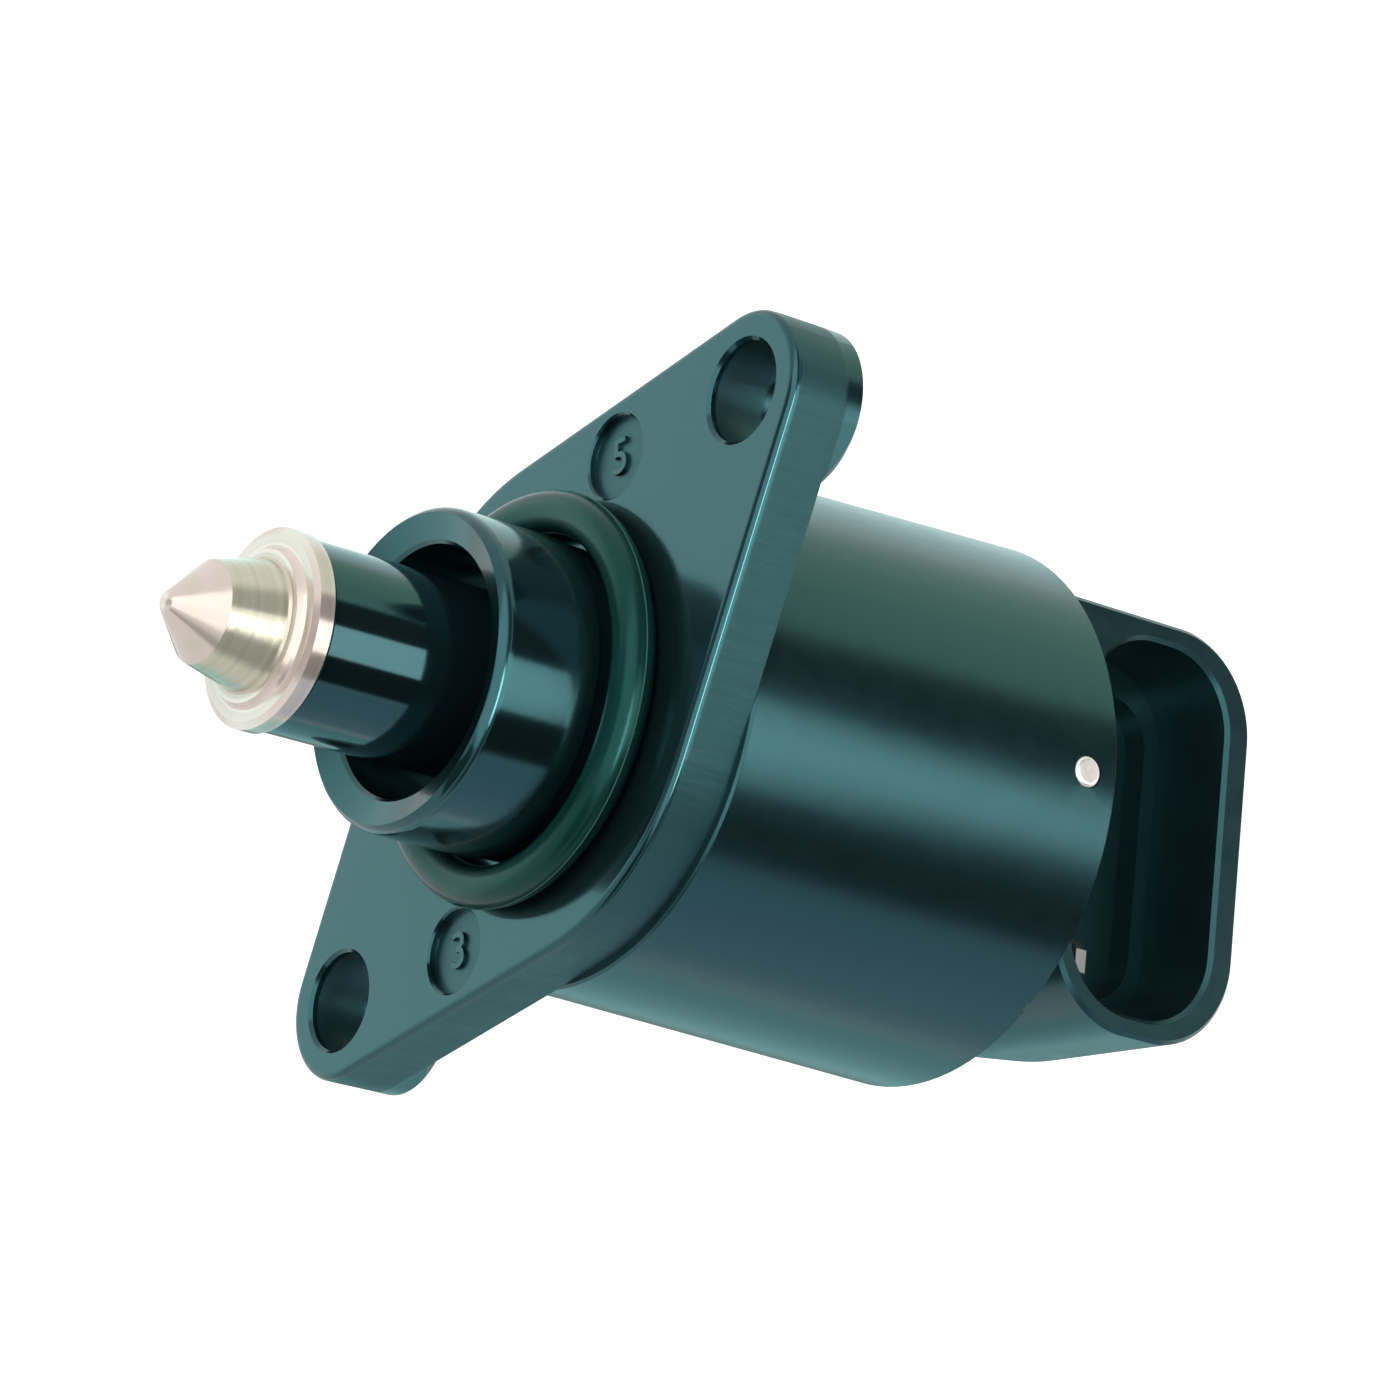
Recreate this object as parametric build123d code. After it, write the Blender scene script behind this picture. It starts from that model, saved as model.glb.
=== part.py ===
from build123d import *
from math import cos, radians, tan
import os

# Idle air control valve, in millimetres. The origin is the centre of the flange's front face.
# +Z runs along the valve's axis towards the pintle's tip, and the connector opens towards -Y.

# Flange: two ears on one line through the axis, and a round waist between them
HOLE_SPACING = 46.0
HOLE_R = 2.95
EAR_R = 4.75
WAIST_R = 15.4
WEB_T = 3.7
EAR_T = 4.9
EAR_DRAFT = 1.1
FLANGE_ANGLE = -47.0
FRONT_EDGE = 0.5
HOLE_EDGE = 0.2

# Round recesses in the flange's face, one on each side of the axis
RECESS_R = 2.5
RECESS_DEPTH = 0.55
RECESS_REACH = 14.9
RECESS_TURN = 25.6
RECESS_EDGE = 0.12

# Can behind the flange, which holds the motor
CAN_FRONT_R = 15.95
CAN_SPREAD = 0.71
CAN_LENGTH = 30.0
CAN_WALL = 1.85
FRONT_WALL = 3.6
FRONT_CHAMFER = 0.15
RIM_CHAMFER = 0.3
NOTCH_ANGLE = -141.4
NOTCH_WIDTH = 0.9
NOTCH_DEPTH = 0.5
RIB_COUNT = 6
RIB_T = 1.4

# Collar round the nose, with a dished end and a pocket round the pintle
COLLAR_R = 9.5
COLLAR_LENGTH = 9.3
COLLAR_ROUND = 1.0
COLLAR_DISH = 0.75
POCKET_R = 7.4
POCKET_DEPTH = 6.1
MOUTH_EDGE = 0.2

# Ring that seals the collar in its hole
SEAL_SECTION_R = 1.25
SEAL_GAP = 0.25
SEAL_LIFT = 0.01
SEAL_SEAT_DROP = 0.2

# Pintle: a plastic sleeve and a turned metal tip on the lead screw
SLEEVE_R = 5.55
SLEEVE_FRONT = 17.8
SLEEVE_WALL = 1.6
SLEEVE_HEAD = 3.8
SLEEVE_EDGE = 0.25
KEY_HEIGHT = 0.75
KEY_WIDTH = 2.0
KEY_ROOM = 0.2
TIP_LENGTH = 7.5
TIP_DISC_R = 5.78
TIP_DISC_T = 1.15
TIP_DISC_BEVEL = 0.42
TIP_BEVEL_DROP = 0.2
TIP_STEP = 0.45
TIP_RING_R = 4.55
TIP_GROOVE = 0.15
TIP_BODY_R = 3.8
TIP_CONE_R = 3.0
TIP_CONE_LENGTH = 2.6
TIP_NOSE_R = 0.4
TIP_NOSE_ROUND = 0.9
SCREW_R = 2.0
SCREW_NECK_R = 1.4
SCREW_NECK_END = 2.6
SCREW_CHAMFER = 0.4

# How far the pintle travels from where it stands, and what must stay clear of it
TRAVEL_IN = 6.5
TRAVEL_OUT = 1.5
REAR_ROOM = 0.1
SLIDE_FIT = 0.07
GUIDE_WALL = 1.8

# Ball bearing that carries the front of the rotor
SEAT_DEPTH = 8.6
SEAT_WALL = 1.6
SEAT_STEP = 1.4
SPRING_HEIGHT = 0.5
SPRING_T = 0.25
SPRING_WIDTH = 1.1
BEARING_R = 8.0
BEARING_BORE = 3.5
BEARING_WIDTH = 3.2
BEARING_EDGE = 0.2
BALL_R = 1.15
BALL_COUNT = 7
BALL_FIT = 0.05
RACE_DEPTH = 0.3
CAGE_T = 0.9
CAGE_EDGE = 0.3
POCKET_FIT = 0.07

# Claw-pole stack: two phases, each a cup and a plate whose claws interleave
CLAW_COUNT = 6
PLATE_T = 0.8
AIR_GAP = 0.25
CLAW_ROOT = 3.0
CLAW_TIP = 1.9
CLAW_CLEAR = 0.6
STACK_GAP = 0.3
BOBBIN_WALL = 0.7
BOBBIN_GAP = 0.1
BOBBIN_LIP_GAP = 0.2
WINDING_DROP = 0.4
WINDING_GAP = 0.03

# Rotor: a ring magnet on a moulded hub that is threaded for the lead screw
MAGNET_R = 6.25
HUB_R = 4.0
HUB_SHOULDER_R = 4.6
HUB_SHOULDER_T = 0.5
HUB_REACH = 0.1
HUB_RELIEF_R = 2.35
GLUE_GAP = 0.01
THREAD_START = 1.0
THREAD_LENGTH = 6.7
THREAD_FIT = 0.06
TAIL_R = 2.9
TAIL_ROOM = 0.4

# Rear cap, with the plain bush for the rotor's tail
CAP_PLATE_T = 2.2
SPIGOT_LENGTH = 4.0
SPIGOT_WALL = 1.5
SPIGOT_FIT = 0.05
BUSH_WALL = 1.5
BUSH_FIT = 0.04
BUSH_LENGTH = 2.6
BUSH_BACK = 0.8
BUSH_GAP = 0.03
BOSS_WALL = 1.3
CAP_SEAL_R = 0.5
CAP_SEAL_Z = 0.75
CAP_SEAL_SQUEEZE = 0.02

# Pins that hold the cap in the can
PIN_R = 0.95
PIN_COUNT = 3
PIN_FROM_RIM = 2.35
PIN_BITE = 0.7
PIN_PROUD = 0.12
PIN_DOME = 0.3
PIN_FIT = 0.02

# Connector: a shrouded socket across the back of the cap, open towards -Y
SHROUD_LENGTH = 25.6
SHROUD_FRONT = 2.4
SHROUD_DEPTH = 14.2
SHROUD_RIM = 9.3
SHROUD_CORNER = 6.0
END_WALL = 1.3
NEAR_WALL = 1.3
FAR_WALL = 1.9
MOUTH_CORNER = 4.8
LEDGE_DEPTH = 6.3
LEDGE_SIDE = 1.05
LEDGE_END = 2.0
WELL_CORNER = 3.0
WELL_DEPTH = 8.0
SHROUD_EDGE = 0.25
SLOPE_START = 7.8
SLOPE_ANGLE = 53.0
SLOPE_END = 9.0
LATCH_WIDTH = 5.0
LATCH_HEIGHT = 1.1
LATCH_SETBACK = 3.0
LATCH_LENGTH = 3.4

# Terminals: four flat blades in a row, each bent once and run forward to the coils
TERMINAL_COUNT = 4
TERMINAL_PITCH = 5.0
BLADE_WIDTH = 2.8
BLADE_T = 0.8
BLADE_SHORT_OF_RIM = 5.5
BLADE_COVER = 1.2
BLADE_TAPER = 0.7
LEG_INNER = 6.6
LEG_OUTER = 10.6
LEG_JOG = 3.0
LEG_STICK_OUT = 1.2

# Places that follow from the sizes above
CAVITY_R = CAN_FRONT_R - CAN_WALL
RIM_Z = -CAN_LENGTH
CAN_REAR_R = CAN_FRONT_R + CAN_SPREAD
POCKET_FLOOR = COLLAR_LENGTH - POCKET_DEPTH
SEAT_Z = -SEAT_DEPTH
GUIDE_R = SLEEVE_R + SLIDE_FIT
SLEEVE_REAR = SEAT_Z + REAR_ROOM + TRAVEL_IN
SLEEVE_STEP = SLEEVE_FRONT - SLEEVE_HEAD
KEY_FRONT = POCKET_FLOOR - KEY_ROOM - TRAVEL_OUT
BEARING_FRONT = SEAT_Z - SPRING_HEIGHT
BEARING_REAR = BEARING_FRONT - BEARING_WIDTH
BEARING_MID = (BEARING_FRONT + BEARING_REAR) / 2
BALL_PITCH_R = (BEARING_R + BEARING_BORE) / 2
GROOVE_R = BALL_R + BALL_FIT
RACE_GAP_R = BALL_R - RACE_DEPTH
STACK_FRONT = BEARING_REAR
STACK_REAR = RIM_Z + SPIGOT_LENGTH
PHASE_LENGTH = (STACK_FRONT - STACK_REAR) / 2
STACK_MID = STACK_FRONT - PHASE_LENGTH
STACK_R = CAVITY_R - STACK_GAP
CLAW_R = MAGNET_R + AIR_GAP
BOBBIN_R = CLAW_R + PLATE_T + BOBBIN_GAP
HUB_FRONT = BEARING_FRONT + HUB_REACH
MAGNET_FRONT = BEARING_REAR - HUB_SHOULDER_T
MAGNET_REAR = STACK_REAR + PLATE_T + TAIL_ROOM
NUT_FRONT = MAGNET_FRONT - THREAD_START
NUT_REAR = NUT_FRONT - THREAD_LENGTH
SCREW_REAR = NUT_REAR - TRAVEL_OUT
PLATE_FRONT = RIM_Z + CAP_PLATE_T
BUSH_REAR = RIM_Z + BUSH_BACK
BUSH_R = TAIL_R + BUSH_FIT + BUSH_WALL
TAIL_END = BUSH_REAR + BUSH_GAP + TAIL_ROOM / 2
PIN_Z = RIM_Z + PIN_FROM_RIM
SPIGOT_R = CAVITY_R - SPIGOT_FIT
SHROUD_NEAR = RIM_Z - SHROUD_FRONT
SHROUD_FAR = SHROUD_NEAR - SHROUD_DEPTH
WELL_FLOOR_Y = WELL_DEPTH - SHROUD_RIM
BLADE_Z = (SHROUD_NEAR - NEAR_WALL + SHROUD_FAR + FAR_WALL) / 2


def disc(radius, low, high):
    """A solid cylinder on the axis between two heights."""
    return Pos(0, 0, low) * Cylinder(radius, high - low, align=(Align.CENTER, Align.CENTER, Align.MIN))


def tube(outer, inner, low, high):
    """A ring on the axis between two heights."""
    return disc(outer, low, high) - disc(inner, low, high)


def turned(points):
    """A turned piece, from (radius, height) points round its half section."""
    section = make_face(Polyline([(r, 0, z) for r, z in points], close=True))
    return revolve(section, Axis.Z)


def block(x_low, x_high, y_low, y_high, z_low, z_high):
    """A box given by its faces."""
    size = Box(x_high - x_low, y_high - y_low, z_high - z_low, align=(Align.MIN, Align.MIN, Align.MIN))
    return Pos(x_low, y_low, z_low) * size


def spread_round(shape, count, start=0.0):
    """Copies of a shape at equal angles round the axis."""
    return [Rot(0, 0, start + 360 * i / count) * shape for i in range(count)]


def radial_rod(radius, inner, outer, height, angle):
    """A round rod that points outwards from the axis."""
    rod = Cylinder(radius, outer - inner, align=(Align.CENTER, Align.CENTER, Align.MIN))
    return Rot(0, 0, angle) * Pos(inner, 0, height) * Rot(0, 90, 0) * rod


def can_radius(height):
    """The can's outer radius, which grows towards the rear."""
    return CAN_FRONT_R + CAN_SPREAD * (-WEB_T - height) / (CAN_LENGTH - WEB_T)


def flange_outline():
    """Ears and waist, joined by straight sides that touch all three circles."""
    ear = Circle(EAR_R)
    circles = [Pos(side * HOLE_SPACING / 2, 0) * ear for side in (-1, 1)] + [Circle(WAIST_R)]
    return make_hull([edge for circle in circles for edge in circle.edges()])


def make_ear_boss():
    """The seat for a bolt's head behind an ear, drafted towards the web."""
    return turned([(0, -EAR_T), (EAR_R, -EAR_T), (EAR_R + EAR_DRAFT, -WEB_T), (0, -WEB_T)])


def make_flange():
    """The flange along X, with its ears thicker than its web, before it is turned."""
    outline = flange_outline()
    plate = extrude(outline, amount=-WEB_T)
    plate = fillet(plate.faces().sort_by(Axis.Z)[-1].edges(), FRONT_EDGE)
    limit = extrude(outline, amount=-EAR_T)
    hole = disc(HOLE_R, -EAR_T, 0)
    for side in (-1, 1):
        place = Pos(side * HOLE_SPACING / 2, 0, 0)
        plate += (place * make_ear_boss()) & limit
        plate -= place * hole
    rims = plate.edges().filter_by(GeomType.CIRCLE).filter_by(lambda e: abs(e.radius - HOLE_R) < 0.01)
    return chamfer(rims, HOLE_EDGE)


def make_tower():
    """The inner tube that guides the sleeve, with the bearing's seat at its end."""
    guide_outer = GUIDE_R + GUIDE_WALL
    seat_outer = BEARING_R + BALL_FIT + SEAT_WALL
    guide = disc(guide_outer, SEAT_Z, -FRONT_WALL / 2)
    seat = turned(
        [
            (0, BEARING_REAR),
            (seat_outer, BEARING_REAR),
            (seat_outer, SEAT_Z + SEAT_STEP),
            (guide_outer, SEAT_Z + SEAT_STEP + seat_outer - guide_outer),
            (0, SEAT_Z + SEAT_STEP + seat_outer - guide_outer),
        ]
    )
    return guide + seat


def make_ribs():
    """Ribs from the bearing's seat to the can's wall, whose ends the coil stack sits on."""
    middle = (BEARING_R + BALL_FIT + SEAT_WALL) / 2 + BEARING_R / 2
    rib = block(middle, CAN_FRONT_R - CAN_WALL / 2, -RIB_T / 2, RIB_T / 2, STACK_FRONT, -FRONT_WALL / 2)
    return spread_round(rib, RIB_COUNT, FLANGE_ANGLE + 180 / RIB_COUNT)


def make_keyways():
    """Two slots along the guide for the sleeve's keys."""
    width = KEY_WIDTH + 2 * SLIDE_FIT
    reach = SLEEVE_R + KEY_HEIGHT + SLIDE_FIT
    slot = block(0, reach, -width / 2, width / 2, SEAT_Z, POCKET_FLOOR)
    return spread_round(slot, 2)


def make_can():
    """The can's outside, solid for now, with a little draft from front to rear."""
    return turned(
        [
            (0, RIM_Z),
            (CAN_REAR_R - RIM_CHAMFER, RIM_Z),
            (CAN_REAR_R, RIM_Z + RIM_CHAMFER),
            (CAN_FRONT_R, -WEB_T - FRONT_CHAMFER),
            (CAN_FRONT_R - FRONT_CHAMFER, -WEB_T),
            (0, -WEB_T),
        ]
    )


def make_collar():
    """The collar's outside, with the seat of the sealing ring round its root."""
    collar = disc(COLLAR_R, -WEB_T, COLLAR_LENGTH)
    collar = fillet(collar.edges().sort_by(Axis.Z)[-1], COLLAR_ROUND)
    return collar - tube(COLLAR_R + SEAL_GAP, COLLAR_R - SEAL_SEAT_DROP, 0, 2 * SEAL_SECTION_R)


def make_nose_cut():
    """What is cut from the collar and the tower: dish, pocket, guide bore and bearing seat."""
    mouth_z = COLLAR_LENGTH - COLLAR_DISH
    turned_cut = turned(
        [
            (0, BEARING_REAR),
            (BEARING_R + BALL_FIT, BEARING_REAR),
            (BEARING_R + BALL_FIT, SEAT_Z),
            (GUIDE_R, SEAT_Z),
            (GUIDE_R, POCKET_FLOOR),
            (POCKET_R, POCKET_FLOOR),
            (POCKET_R, mouth_z - MOUTH_EDGE),
            (POCKET_R + MOUTH_EDGE, mouth_z),
            (COLLAR_R, COLLAR_LENGTH),
            (0, COLLAR_LENGTH),
        ]
    )
    return [turned_cut] + make_keyways()


def make_pin_holes(inner):
    """Holes for the retaining pins, from a radius outwards."""
    hole = radial_rod(PIN_R + PIN_FIT, inner, CAN_REAR_R + CAN_WALL, PIN_Z, 0)
    return spread_round(hole, PIN_COUNT, -90)


def make_notch():
    """The small locating notch in the can's rim."""
    half = NOTCH_WIDTH / 2
    notch = block(CAVITY_R + CAN_WALL / 2, CAN_REAR_R + CAN_WALL, -half, half, RIM_Z, RIM_Z + NOTCH_DEPTH)
    return Rot(0, 0, NOTCH_ANGLE) * notch


def make_recesses():
    """The round recesses in the flange's face, with their rims broken."""
    recess = turned(
        [
            (0, -RECESS_DEPTH),
            (RECESS_R, -RECESS_DEPTH),
            (RECESS_R, -RECESS_EDGE),
            (RECESS_R + RECESS_EDGE, 0),
            (0, 0),
        ]
    )
    return spread_round(Pos(RECESS_REACH, 0, 0) * recess, 2, FLANGE_ANGLE + RECESS_TURN)


def make_housing():
    """Flange, can, collar and inner tower, moulded in one piece."""
    housing = Rot(0, 0, FLANGE_ANGLE) * make_flange() + make_can() + make_collar()
    housing -= disc(CAVITY_R, RIM_Z, -FRONT_WALL)
    housing += make_tower()
    housing += make_ribs()
    housing -= make_nose_cut()
    housing -= make_recesses()
    housing -= make_pin_holes(CAVITY_R - CAN_WALL / 2)
    return housing - make_notch()


def make_o_ring():
    """The ring that lies on the flange round the collar's root."""
    middle = COLLAR_R + SEAL_GAP + SEAL_SECTION_R
    return Pos(0, 0, SEAL_SECTION_R + SEAL_LIFT) * Torus(middle, SEAL_SECTION_R)


def make_sleeve():
    """The hollow barrel behind the tip, with two keys that keep it from turning."""
    barrel = disc(SLEEVE_R, SLEEVE_REAR, SLEEVE_FRONT)
    barrel = chamfer(barrel.edges().filter_by(GeomType.CIRCLE), SLEEVE_EDGE)
    half = KEY_WIDTH / 2
    key = block(SLEEVE_R - SLEEVE_WALL / 2, SLEEVE_R + KEY_HEIGHT, -half, half, SLEEVE_REAR, KEY_FRONT)
    barrel += spread_round(key, 2)
    barrel -= disc(SLEEVE_R - SLEEVE_WALL, SLEEVE_REAR, SLEEVE_STEP)
    barrel -= disc(SCREW_NECK_R + GLUE_GAP, SLEEVE_STEP, SLEEVE_FRONT)
    return barrel


def make_tip():
    """The turned tip: a short cone on a longer one, and a stepped disc that backs them."""
    nose = SLEEVE_FRONT + TIP_LENGTH
    cone_base = nose - TIP_CONE_LENGTH
    disc_front = SLEEVE_FRONT + TIP_DISC_T
    ring_top = disc_front + TIP_STEP
    tip = turned(
        [
            (0, SLEEVE_FRONT),
            (TIP_DISC_R, SLEEVE_FRONT),
            (TIP_DISC_R, disc_front - TIP_BEVEL_DROP),
            (TIP_DISC_R - TIP_DISC_BEVEL, disc_front),
            (TIP_RING_R + TIP_GROOVE, disc_front),
            (TIP_RING_R, disc_front + TIP_GROOVE),
            (TIP_RING_R - TIP_GROOVE, ring_top),
            (TIP_BODY_R + TIP_GROOVE, ring_top),
            (TIP_BODY_R, ring_top + TIP_GROOVE),
            (TIP_CONE_R, cone_base),
            (TIP_NOSE_R, nose),
            (0, nose),
        ]
    )
    tip = fillet(tip.faces().sort_by(Axis.Z)[-1].edges(), TIP_NOSE_ROUND)
    return tip - disc(SCREW_NECK_R + GLUE_GAP, SLEEVE_FRONT, SLEEVE_FRONT + SCREW_NECK_END)


def make_lead_screw():
    """The screw, with a neck that carries the sleeve and the tip."""
    neck_end = SLEEVE_FRONT + SCREW_NECK_END
    return turned(
        [
            (0, SCREW_REAR),
            (SCREW_R - SCREW_CHAMFER, SCREW_REAR),
            (SCREW_R, SCREW_REAR + SCREW_CHAMFER),
            (SCREW_R, SLEEVE_STEP),
            (SCREW_NECK_R, SLEEVE_STEP),
            (SCREW_NECK_R, neck_end),
            (0, neck_end),
        ]
    )


def make_race_spring():
    """A coned spring washer that keeps the bearing free of end play."""
    outer = BEARING_R - BEARING_EDGE
    inner = outer - SPRING_WIDTH
    high = SEAT_Z
    low = BEARING_FRONT
    return turned(
        [
            (outer, low),
            (outer, low + SPRING_T),
            (inner, high),
            (inner, high - SPRING_T),
        ]
    )


def bearing_groove():
    """The track of the balls, a little larger than they are."""
    return Pos(0, 0, BEARING_MID) * Torus(BALL_PITCH_R, GROOVE_R)


def make_outer_race():
    """The bearing's outer ring."""
    ring = tube(BEARING_R, BALL_PITCH_R + RACE_GAP_R, BEARING_REAR, BEARING_FRONT)
    rims = ring.edges().filter_by(GeomType.CIRCLE).filter_by(lambda e: abs(e.radius - BEARING_R) < 0.01)
    return chamfer(rims, BEARING_EDGE) - bearing_groove()


def make_inner_race():
    """The bearing's inner ring."""
    return tube(BALL_PITCH_R - RACE_GAP_R, BEARING_BORE, BEARING_REAR, BEARING_FRONT) - bearing_groove()


def make_balls():
    """The bearing's balls."""
    ball = Pos(BALL_PITCH_R, 0, BEARING_MID) * Sphere(BALL_R)
    return spread_round(ball, BALL_COUNT)


def make_cage():
    """The ring that keeps the balls apart."""
    low = BEARING_REAR + CAGE_EDGE / 2
    high = BEARING_FRONT - CAGE_EDGE / 2
    ring = tube(BALL_PITCH_R + CAGE_T / 2, BALL_PITCH_R - CAGE_T / 2, low, high)
    for i in range(BALL_COUNT):
        angle = 360 * i / BALL_COUNT
        ring -= radial_rod(BALL_R + POCKET_FIT, 0, BEARING_R, BEARING_MID, angle)
    return ring


def make_claws(root_z, tip_z, start):
    """Tapered claws bent from a plate's inner edge, seen along the axis as parts of a ring."""
    low = min(root_z, tip_z)
    high = max(root_z, tip_z)
    outline = [
        (-CLAW_ROOT / 2, root_z),
        (CLAW_ROOT / 2, root_z),
        (CLAW_TIP / 2, tip_z),
        (-CLAW_TIP / 2, tip_z),
    ]
    wedge = extrude(Plane.YZ * make_face(Polyline(outline, close=True)), amount=CLAW_R + 2 * PLATE_T)
    claw = wedge & tube(CLAW_R + PLATE_T, CLAW_R, low, high)
    return spread_round(claw, CLAW_COUNT, start)


def make_pole_piece(disc_z, inward, start):
    """A plate with its claws. disc_z is its outer side, and inward is the way its claws point."""
    back = disc_z + inward * PLATE_T
    plate = tube(STACK_R, CLAW_R + PLATE_T / 2, min(disc_z, back), max(disc_z, back))
    tip_z = disc_z + inward * (PHASE_LENGTH - PLATE_T - CLAW_CLEAR)
    return plate + make_claws(disc_z, tip_z, start)


def make_pole_cup(disc_z, inward, start):
    """A pole piece with the outer wall that closes its phase."""
    far = disc_z + inward * (PHASE_LENGTH - PLATE_T)
    wall = tube(STACK_R, STACK_R - PLATE_T, min(disc_z, far), max(disc_z, far))
    return make_pole_piece(disc_z, inward, start) + wall


def make_bobbin(front):
    """The moulded reel of a phase, whose front side is at a height."""
    length = PHASE_LENGTH - 2 * PLATE_T
    rear = front - length
    lip_r = STACK_R - PLATE_T - BOBBIN_LIP_GAP
    barrel = BOBBIN_R + BOBBIN_WALL
    return turned(
        [
            (BOBBIN_R, rear),
            (lip_r, rear),
            (lip_r, rear + BOBBIN_WALL),
            (barrel, rear + BOBBIN_WALL),
            (barrel, front - BOBBIN_WALL),
            (lip_r, front - BOBBIN_WALL),
            (lip_r, front),
            (BOBBIN_R, front),
        ]
    )


def make_winding(front):
    """The wire wound on a bobbin, as one full ring."""
    length = PHASE_LENGTH - 2 * PLATE_T
    inner = BOBBIN_R + BOBBIN_WALL + WINDING_GAP
    outer = STACK_R - PLATE_T - BOBBIN_LIP_GAP - WINDING_DROP
    return tube(outer, inner, front - length + BOBBIN_WALL, front - BOBBIN_WALL)


def make_magnet():
    """The ring magnet."""
    return tube(MAGNET_R, HUB_R + GLUE_GAP, MAGNET_REAR, MAGNET_FRONT)


def make_hub():
    """The rotor's hub: journals at both ends and the nut's bore inside."""
    body = turned(
        [
            (0, TAIL_END),
            (TAIL_R, TAIL_END),
            (TAIL_R, MAGNET_REAR),
            (HUB_R, MAGNET_REAR),
            (HUB_R, MAGNET_FRONT),
            (HUB_SHOULDER_R, MAGNET_FRONT),
            (HUB_SHOULDER_R, BEARING_REAR),
            (BEARING_BORE - GLUE_GAP, BEARING_REAR),
            (BEARING_BORE - GLUE_GAP, HUB_FRONT),
            (0, HUB_FRONT),
        ]
    )
    body -= disc(HUB_RELIEF_R, NUT_FRONT, HUB_FRONT)
    body -= disc(SCREW_R + THREAD_FIT, NUT_REAR, NUT_FRONT)
    body -= disc(HUB_RELIEF_R, TAIL_END, NUT_REAR)
    return body


def make_rear_bush():
    """The plain bush for the hub's tail."""
    return tube(BUSH_R, TAIL_R + BUSH_FIT, BUSH_REAR, BUSH_REAR + BUSH_LENGTH)


def make_cap_seal():
    """The ring in the spigot's groove."""
    middle = CAVITY_R - CAP_SEAL_SQUEEZE - CAP_SEAL_R
    return Pos(0, 0, RIM_Z + CAP_SEAL_Z) * Torus(middle, CAP_SEAL_R)


def make_pins():
    """Pins through the can's wall into the cap's spigot, with domed outer ends."""
    inner = SPIGOT_R - PIN_BITE
    outer = can_radius(PIN_Z) + PIN_PROUD
    pin = radial_rod(PIN_R, inner, outer, PIN_Z, 0)
    pin = fillet(pin.edges().sort_by(Axis.X)[-1], PIN_DOME)
    return spread_round(pin, PIN_COUNT, -90)


def corner_arc(x, z, side_x, side_z):
    """A quarter of a circle round the outside of a corner, from its upright side to its level one."""
    drop = SHROUD_CORNER * (1 - cos(radians(45)))
    return ThreePointArc(
        (x, z - side_z * SHROUD_CORNER),
        (x - side_x * drop, z - side_z * drop),
        (x - side_x * SHROUD_CORNER, z),
    )


def shroud_outline():
    """The connector's outer shape, seen from its mouth: x across, and the height along the axis."""
    half = SHROUD_LENGTH / 2
    neck = SHROUD_CORNER - half
    far_right = corner_arc(half, SHROUD_FAR, 1, -1)
    far_left = corner_arc(-half, SHROUD_FAR, -1, -1)
    near_left = corner_arc(-half, SHROUD_NEAR, -1, 1)
    return make_face(
        [
            Line((half, RIM_Z), far_right @ 0),
            far_right,
            Line(far_right @ 1, far_left @ 1),
            far_left,
            Line(far_left @ 0, near_left @ 0),
            near_left,
            Line(near_left @ 1, (neck, RIM_Z)),
            Line((neck, RIM_Z), (half, RIM_Z)),
        ]
    )


def on_mouth(sketch, y_low, y_high):
    """A sketch in x and height, extruded across the valve between two places in y."""
    return extrude(Plane.XZ.offset(-y_high) * sketch, amount=y_high - y_low)


def across(sketch, width):
    """A sketch in y and height, extruded to both sides of the middle plane."""
    return extrude(Plane.YZ.offset(-width / 2) * sketch, amount=width)


def make_blade_and_leg(index):
    """One terminal: a blade in the socket, and a flat leg that runs forward to the coils."""
    x = (index - (TERMINAL_COUNT - 1) / 2) * TERMINAL_PITCH
    side = 1 if x > 0 else -1
    leg_x = side * (LEG_INNER if abs(x) < TERMINAL_PITCH else LEG_OUTER)
    half = BLADE_WIDTH / 2
    leg_y = WELL_FLOOR_Y + BLADE_COVER
    tip_y = -SHROUD_RIM + BLADE_SHORT_OF_RIM
    bend_z = BLADE_Z - BLADE_T / 2
    blade = block(x - half, x + half, tip_y, leg_y + BLADE_T / 2, bend_z, bend_z + BLADE_T)
    tip_edges = blade.faces().sort_by(Axis.Y)[0].edges().filter_by(Axis.Z)
    blade = chamfer(tip_edges, BLADE_TAPER)
    jog_end = RIM_Z - LEG_JOG / 2
    jog_start = jog_end - LEG_JOG
    leg_end = PLATE_FRONT + LEG_STICK_OUT
    outline = Polyline(
        [
            (x - half, bend_z),
            (x + half, bend_z),
            (x + half, jog_start),
            (leg_x + half, jog_end),
            (leg_x + half, leg_end),
            (leg_x - half, leg_end),
            (leg_x - half, jog_end),
            (x - half, jog_start),
        ],
        close=True,
    )
    leg = on_mouth(make_face(outline), leg_y - BLADE_T / 2, leg_y + BLADE_T / 2)
    return blade + leg


def make_latch():
    """The ramp on the shroud's far side that the plug's catch snaps over."""
    front = -SHROUD_RIM + LATCH_SETBACK
    outline = Polyline(
        [
            (front, SHROUD_FAR + FAR_WALL / 2),
            (front, SHROUD_FAR),
            (front + LATCH_LENGTH, SHROUD_FAR - LATCH_HEIGHT),
            (front + LATCH_LENGTH, SHROUD_FAR + FAR_WALL / 2),
        ],
        close=True,
    )
    return across(make_face(outline), LATCH_WIDTH)


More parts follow.
